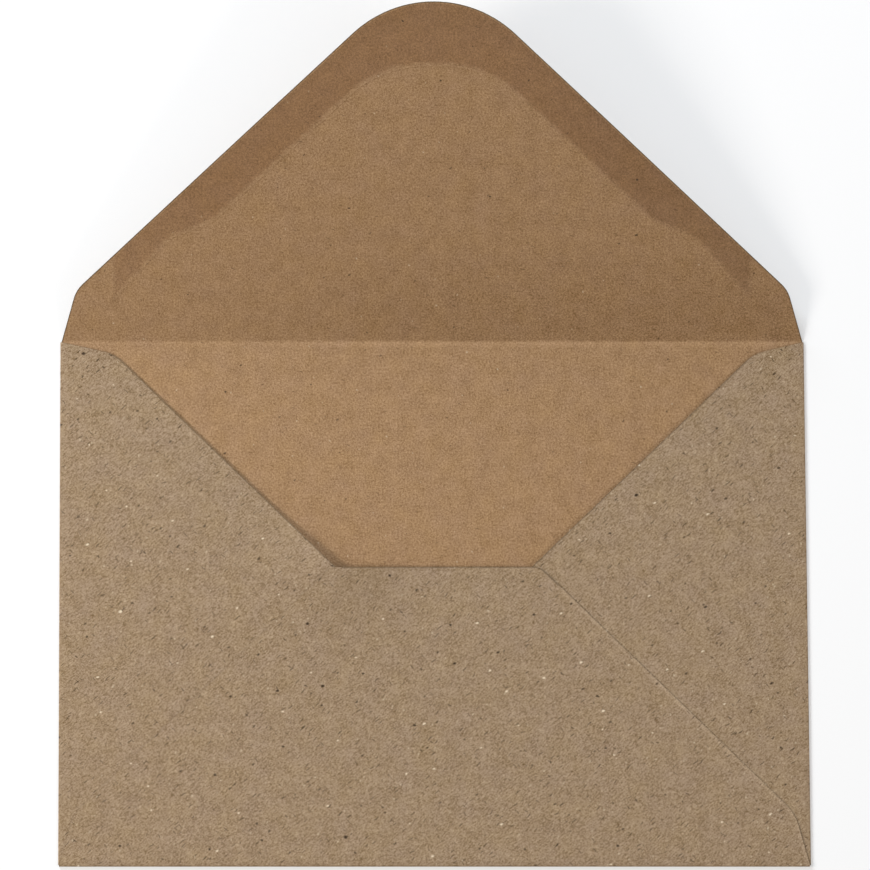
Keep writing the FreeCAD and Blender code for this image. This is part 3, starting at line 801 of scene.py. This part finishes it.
def outer_paper(colours):
    """The rough outer face: mottled pulp with bark, ink, bleached fibre and short hairs."""
    shader = Shader(bpy.data.materials.new("outer_paper"))
    place = blank_place(shader)
    dust_grain = shader.grain(place, 5.2, 1.0, 13)
    speckle = shader.speckle(place, 3.6, 15)
    pulp = shader.grain(place, 2.3, 1.0, 11)
    fibre = shader.grain(shader.turned(place, 42, (0.9, 3.8), 3), 1.0, 1.0, 5)
    cross_fibre = shader.grain(shader.turned(place, -30, (1.2, 4.6), 8), 1.0, 1.0, 6)
    cloud = shader.grain(place, 0.3, 4.0, 21)
    tone = 1 + dust_grain * 1.1 + speckle * 0.30 + pulp * 0.6 + fibre * 0.9
    tone = tone + cross_fibre * 0.5 + cloud * 0.5
    # Painted highlight: a pale line along the bottom flap's seams, strongest on the right, where the
    # raised seam edge catches the light.
    highlight_share = shader.ramp(part_of(shader, place, "X"), 5, 45) * 0.19
    seam_highlight = (1 - shader.ramp(gap_to(shader, "seam_gap"), 0.45, 1.0)) * highlight_share
    tint = shader.toned(tinged(shader, place, colours.outer, 23), tone + seam_highlight)
    rough, bent = shaken(shader, place, 0.45, 1.6), shaken(shader, place, 0.6, 0.7)
    tint = flecked(shader, tint, colours.dark_fleck, {
        "faint": (0.24, rough, 2.1, 0.55, 0.30, 1.8, 35, 31),
        "hairs": (0.80, bent, 2.1, 0.50, 0.32, 8, 42, 47),
        "cross hairs": (0.75, bent, 2.8, 0.35, 0.28, 8, -48, 53),
        "chips": (0.70, rough, 4.6, 0.36, 0.38, 2.0, 40, 37),
        "slivers": (0.70, rough, 5.2, 0.30, 0.34, 3.0, -30, 41),
        "specks": (0.90, rough, 8.0, 0.45, 0.46, 1.5, 10, 43),
    })
    tint = flecked(shader, tint, colours.pale_fleck, {
        "dust": (0.40, rough, 3.0, 0.32, 0.28, 1.4, 60, 59),
        "crumbs": (1.0, rough, 7.0, 0.40, 0.38, 1.6, 20, 61),
    })
    # Dark cut edge, partly painted shade: the outer face is darkened next to the free edges of the
    # mouth, where the raised side flaps and the bottom flap's top edge shade the panel.
    burr_and_gap_shade = 1 - shader.ramp(gap_to(shader, "edge_gap"), 0.05, 0.36)
    tint = shader.mixed(burr_and_gap_shade * 0.5, tint, colours.cut_edge)
    height = pulp + dust_grain * 0.6 + fibre * 0.6 + cross_fibre * 0.5
    return shader.finish(tint, 0.92, 0.2, height, 0.02 * MM)


def inner_paper_tint(shader, colours, crease):
    """Colour and bump height of the smoother inner face, which the gum shows too.

    The crease is the height of the top crease on the blank, in millimetres.
    """
    place = blank_place(shader)
    dust_grain = shader.grain(place, 5.0, 1.0, 113)
    speckle = shader.speckle(place, 3.8, 115)
    pulp = shader.grain(place, 2.4, 1.0, 111)
    streak = shader.grain(shader.turned(place, 0, (2.2, 0.4), 4), 1.0, 1.0, 105)
    cloud = shader.grain(place, 0.3, 4.0, 121)
    tone = 0.98 + dust_grain * 0.9 + speckle * 0.20 + pulp * 0.9 + streak * 0.12 + cloud * 0.42
    across, up = part_of(shader, place, "X"), part_of(shader, place, "Y") - crease
    rightward = shader.ramp(across, -60, 5)
    # Painted highlight: a light band just below the top crease, stronger to the right, as if a small
    # ridge there caught the light.
    crease_highlight = shader.ramp(up, -1.55, -0.15) * (1 - shader.ramp(up, -0.15, 0.35))
    # Painted shade: the flap's inner face is darker just above the crease, towards the middle and the
    # right, where its steep part faces away from the top light.
    crease_shade = shader.ramp(up, 0.05, 0.85) * (1 - shader.ramp(up, 3.25, 27.25))
    # Painted shade: the inner face also gets darker towards the right, as the light from the left falls
    # off.
    tone = tone - across * 0.0006 + crease_highlight * (rightward * 0.09 + 0.07) - crease_shade * rightward * 0.11
    tint = shader.toned(tinged(shader, place, colours.inner, 123), tone)
    rough, bent = shaken(shader, place, 0.35, 1.8), shaken(shader, place, 0.6, 0.7)
    tint = flecked(shader, tint, colours.dark_fleck, {
        "faint": (0.24, rough, 2.6, 0.45, 0.26, 1.5, 25, 131),
        "hairs": (0.50, bent, 3.0, 0.35, 0.24, 7, 25, 147),
        "chips": (0.60, rough, 6.0, 0.30, 0.32, 1.8, -40, 137),
        "specks": (0.80, rough, 13.0, 0.50, 0.34, 1.3, 15, 139),
    })
    dust = (0.40, rough, 5.5, 0.30, 0.24, 1.3, 60, 159)
    tint = flecked(shader, tint, colours.pale_fleck, {"dust": dust})
    return tint, pulp + dust_grain * 0.6 + streak * 0.2


def inner_paper(colours, crease):
    shader = Shader(bpy.data.materials.new("inner_paper"))
    tint, height = inner_paper_tint(shader, colours, crease)
    # Darker within about a third of a millimetre of the free edges.
    edge_darkening = 1 - shader.ramp(gap_to(shader, "edge_gap"), 0.0, 0.34)
    tint = shader.mixed(edge_darkening * 0.92, tint, colours.cut_edge)
    return shader.finish(tint, 0.88, 0.25, height, 0.015 * MM)


def cut_edge(colours):
    shader = Shader(bpy.data.materials.new("cut_edge"))
    place = blank_place(shader)
    fuzz = shader.grain(place, 4.0, 2.0, 201)
    tint = shader.scaled(colours.cut_edge, 1 + fuzz * 0.8)
    return shader.finish(tint, 0.95, 0.15, fuzz, 0.03 * MM)


def dried_gum(colours, crease):
    """A thin film that darkens the paper under it, with a soft uneven border."""
    shader = Shader(bpy.data.materials.new("dried_gum"))
    place = blank_place(shader)
    paper, height = inner_paper_tint(shader, colours, crease)
    pool = shader.grain(place, 0.55, 3.0, 301)
    beads = shader.grain(place, 1.4, 1.0, 307)
    across, up = part_of(shader, place, "X"), part_of(shader, place, "Y") - crease
    gap = gap_to(shader, "edge_gap")
    thick = 0.7 + 0.3 * shader.ramp(up, 13.25, 38.25)
    film_share = shader.ramp(gap + pool * 1.2 + beads * 0.5, 0.0, 1.4) * thick
    # Painted shade: the gum gets darker towards the right, as the light from the left falls off; it is
    # also a little darker near the flap's edge.
    gum_falloff_shade_and_rim = shader.ramp(across, 0, 50) * 0.08 + shader.ramp(gap, 7.6, 8.4) * 0.05
    wet = shader.scaled(colours.gum, 1 + pool * 0.16 + beads * 0.14 - gum_falloff_shade_and_rim)
    tint = shader.mixed(film_share, paper, shader.times(paper, wet))
    roughness = 0.88 - film_share * 0.26
    return shader.finish(tint, roughness, 0.35, height * 0.6 + beads * 0.6, 0.03 * MM)


def seam_glue(colours):
    shader = Shader(bpy.data.materials.new("seam_glue"))
    place = blank_place(shader)
    pool = shader.grain(place, 0.8, 3.0, 401)
    tint = shader.scaled(colours.glue, 1 + pool * 0.5)
    return shader.finish(tint, 0.55, 0.4, pool, 0.02 * MM)


# Stage

VIEW_WIDTH = 188.4 * MM
CAMERA_PLACE = (0.1 * MM, 36.7 * MM, 1.2)
SENSOR_WIDTH = 36
AIM = Vector((0, 25 * MM, 0))
TABLE_LEVEL = -0.05 * MM
TABLE_HALF_SIZE = 3.0
TABLE_GLOW = 0.30
WARM = (1.05, 1.0, 0.94)
NEUTRAL = (1.0, 1.0, 1.0)
COOL = (0.90, 1.0, 1.12)


def soft_box(name, azimuth, elevation, distance, size, share, tint):
    """A square light that looks at the envelope. Azimuth 0 is to the right, 90 past the flap.

    The share is the part of its colour that a level white face shows by this light alone.
    """
    turn, rise = math.radians(azimuth), math.radians(elevation)
    away = Vector((
        math.cos(turn) * math.cos(rise), math.sin(turn) * math.cos(rise), math.sin(rise)))
    light = bpy.data.lights.new(name, "AREA")
    light.shape = "SQUARE"
    light.size = size
    light.energy = share * math.pi ** 2 * distance ** 2 / math.sin(rise)
    light.color = tint
    lamp = bpy.data.objects.new(name, light)
    lamp.location = AIM + away * distance
    lamp.rotation_mode = "QUATERNION"
    lamp.rotation_quaternion = away.to_track_quat("Z", "Y")
    bpy.context.scene.collection.objects.link(lamp)


def seen_rays(shader):
    """1 for rays from the camera and in reflections, which show the pale backdrop."""
    path = shader.add("ShaderNodeLightPath", {}, {}, "Is Camera Ray")
    return path + path.sibling("Is Glossy Ray") + path.sibling("Is Transmission Ray")


def table_top(tint):
    mesh = bpy.data.meshes.new("table")
    side = TABLE_HALF_SIZE
    square = ((-side, -side), (side, -side), (side, side), (-side, side))
    corners = [(x, y, TABLE_LEVEL) for x, y in square]
    mesh.from_pydata(corners, [], [(0, 1, 2, 3)])
    shader = Shader(bpy.data.materials.new("table"))
    glow = shader.scaled((1, 1, 1), seen_rays(shader) * TABLE_GLOW)
    surface = shader.add("ShaderNodeBsdfPrincipled", {}, {
        "Base Color": opaque(tint), "Roughness": 0.9, "Specular IOR Level": 0.1,
        "Emission Color": glow, "Emission Strength": 1.0})
    shader.add("ShaderNodeOutputMaterial", {}, {"Surface": surface})
    mesh.materials.append(shader.owner)
    table = bpy.data.objects.new("table", mesh)
    bpy.context.scene.collection.objects.link(table)


def backdrop(share, tint):
    world = bpy.data.worlds.new("backdrop")
    bpy.context.scene.world = world
    shader = Shader(world)
    light = shader.add("ShaderNodeBackground", {}, {"Color": opaque(tint), "Strength": share})
    shown = shader.add("ShaderNodeBackground", {}, {"Color": (1, 1, 1, 1), "Strength": 1.0})
    surface = shader.add("ShaderNodeMixShader", {}, {0: seen_rays(shader), 1: light, 2: shown})
    shader.add("ShaderNodeOutputWorld", {}, {"Surface": surface})


def camera():
    data = bpy.data.cameras.new("camera")
    data.sensor_fit = "HORIZONTAL"
    data.sensor_width = SENSOR_WIDTH
    data.lens = SENSOR_WIDTH * CAMERA_PLACE[2] / VIEW_WIDTH
    data.clip_start = 10 * MM
    holder = bpy.data.objects.new("camera", data)
    holder.location = CAMERA_PLACE
    bpy.context.scene.collection.objects.link(holder)
    bpy.context.scene.camera = holder


# Operators and panel

class ENVELOPE_OT_paper_sheet(bpy.types.Operator):
    """Fold the paper sheet from its flat blank"""

    bl_idname = "envelope.paper_sheet"
    bl_label = "Paper sheet"

    def execute(self, context):
        sizes, colours = context.scene.sheet_sizes, context.scene.paper_colours
        blank = Blank(sizes)
        outline = blank.outline()
        points, faces = divide(outline, blank.rows(), blank.grid(), sizes.mesh_step)
        levels = (0, sizes.paper_thickness)
        free, pasted = blank.free_and_pasted()
        paths = {"edge_gap": free, "seam_gap": pasted}
        piece = slab("paper_sheet", points, faces, blank.place, levels, paths)
        inner = inner_paper(colours, blank.mouth_y / MM)
        materials = (outer_paper(colours), inner, cut_edge(colours))
        fit(piece, "folded_sheet", materials)
        return {"FINISHED"}


class ENVELOPE_OT_gum_band(bpy.types.Operator):
    """Lay the band of dried gum on the inside of the top flap"""

    bl_idname = "envelope.gum_band"
    bl_label = "Gum band"

    def execute(self, context):
        scene = context.scene
        sheet, sizes = scene.sheet_sizes, scene.film_sizes
        blank = Blank(sheet)
        inner_gap = sizes.gum_edge_gap + sizes.gum_width
        radius = sizes.gum_corner_radius
        inner_y = blank.flap_point.y - sizes.gum_point_drop
        halves, outers = [], []
        for fold in blank.folds:
            shoulder, inward = fold.shoulder, fold.inward
            edge = (shoulder, blank.flap_point)
            outer = shifted(edge, sizes.gum_edge_gap * inward)
            inner = shifted(edge, inner_gap * inward)
            knee = Vector((
                shoulder.x + sizes.gum_knee_inset * inward, blank.mouth_y + sizes.gum_knee_height))
            end = Vector((
                shoulder.x + sizes.gum_end_inset * inward, blank.mouth_y + sizes.gum_end_height))
            outers.append(outer)
            halves.append([
                (at_height(outer, blank.mouth_y + sizes.gum_leave_height), 0),
                (end, 0),
                (knee, radius),
                (at_height(inner, blank.mouth_y + sizes.gum_narrow_height), radius),
                (at_height(inner, inner_y), sizes.gum_arch_radius),
            ])
        tip = (meet(*outers), sheet.flap_tip_radius - sizes.gum_edge_gap)
        inside = rounded_path([*halves[0], *halves[1][::-1]], sheet.mesh_step)
        outside = rounded_path([halves[1][0], tip, halves[0][0]], sheet.mesh_step)
        outline = [blank.flat_top(p) for p in [*inside, *outside[1:-1]]]
        levels = (sheet.paper_thickness, sheet.paper_thickness + sizes.gum_thickness)
        paths = {"edge_gap": [[blank.flat_top(p) for p in inside]]}
        piece = film("gum_band", outline, blank.place, levels, sheet.mesh_step, paths)
        gum = dried_gum(scene.paper_colours, blank.mouth_y / MM)
        fit(piece, "seal_gum", (gum, gum, gum))
        return {"FINISHED"}


class ENVELOPE_OT_glue_strips(bpy.types.Operator):
    """Lay the two strips of glue under the seams"""

    bl_idname = "envelope.glue_strips"
    bl_label = "Glue strips"

    def execute(self, context):
        scene = context.scene
        sheet, sizes = scene.sheet_sizes, scene.film_sizes
        blank = Blank(sheet)
        glue = seam_glue(scene.paper_colours)
        far = sizes.glue_inset + sizes.glue_width
        for side, fold in (("left", blank.left), ("right", blank.right)):
            start, stop = fold.seam
            inward = fold.inward
            run = (stop - start).normalized() * sizes.glue_end_gap
            held = (start + run, stop - run)
            near_line = shifted(held, sizes.glue_inset * inward)
            far_line = shifted(held, far * inward)
            corners = [*near_line, *far_line[::-1]]
            outline = closed_path([(p, 0) for p in corners[::inward]], sheet.mesh_step)
            piece = film(
                f"glue_strip_{side}", outline, blank.on_back, (0, sheet.glue_thickness),
                sheet.mesh_step, {})
            fit(piece, f"seam_glue_{side}", (glue, glue, glue))
        return {"FINISHED"}


class ENVELOPE_OT_stage(bpy.types.Operator):
    """Set up the table, the lights and the camera"""

    bl_idname = "envelope.stage"
    bl_label = "Stage"

    def execute(self, context):
        context.scene.view_settings.view_transform = "Standard"
        table_top(context.scene.paper_colours.floor)
        backdrop(0.29, WARM)
        soft_box("left_light", 184, 34, 0.8, 0.24, 0.27, WARM)
        soft_box("right_light", -15, 32, 1.2, 0.4, 0.13, NEUTRAL)
        soft_box("top_light", 118, 20, 1.4, 0.5, 0.32, COOL)
        camera()
        return {"FINISHED"}


class ENVELOPE_PT_builder(bpy.types.Panel):
    bl_label = "Brown paper envelope"
    bl_space_type = "VIEW_3D"
    bl_region_type = "UI"
    bl_category = "Envelope"

    def draw(self, context):
        for operator in OPERATORS:
            self.layout.operator(operator.bl_idname)
        for name in PROPERTY_GROUPS:
            group = getattr(context.scene, name)
            box = self.layout.box()
            for size in group.bl_rna.properties:
                if size.identifier in type(group).__annotations__:
                    box.prop(group, size.identifier)


OPERATORS = (
    ENVELOPE_OT_paper_sheet,
    ENVELOPE_OT_gum_band,
    ENVELOPE_OT_glue_strips,
    ENVELOPE_OT_stage,
)
PROPERTY_GROUPS = {
    "sheet_sizes": SheetSizes,
    "film_sizes": FilmSizes,
    "paper_colours": PaperColours,
}
CLASSES = (*PROPERTY_GROUPS.values(), *OPERATORS, ENVELOPE_PT_builder)


def register():
    for cls in CLASSES:
        bpy.utils.register_class(cls)
    for name, group in PROPERTY_GROUPS.items():
        setattr(bpy.types.Scene, name, bpy.props.PointerProperty(type=group))


def unregister():
    for name in PROPERTY_GROUPS:
        delattr(bpy.types.Scene, name)
    for cls in reversed(CLASSES):
        bpy.utils.unregister_class(cls)


def main():
    register()
    bpy.ops.envelope.paper_sheet()
    bpy.ops.envelope.gum_band()
    bpy.ops.envelope.glue_strips()
    bpy.ops.envelope.stage()


if __name__ == "__main__":
    main()
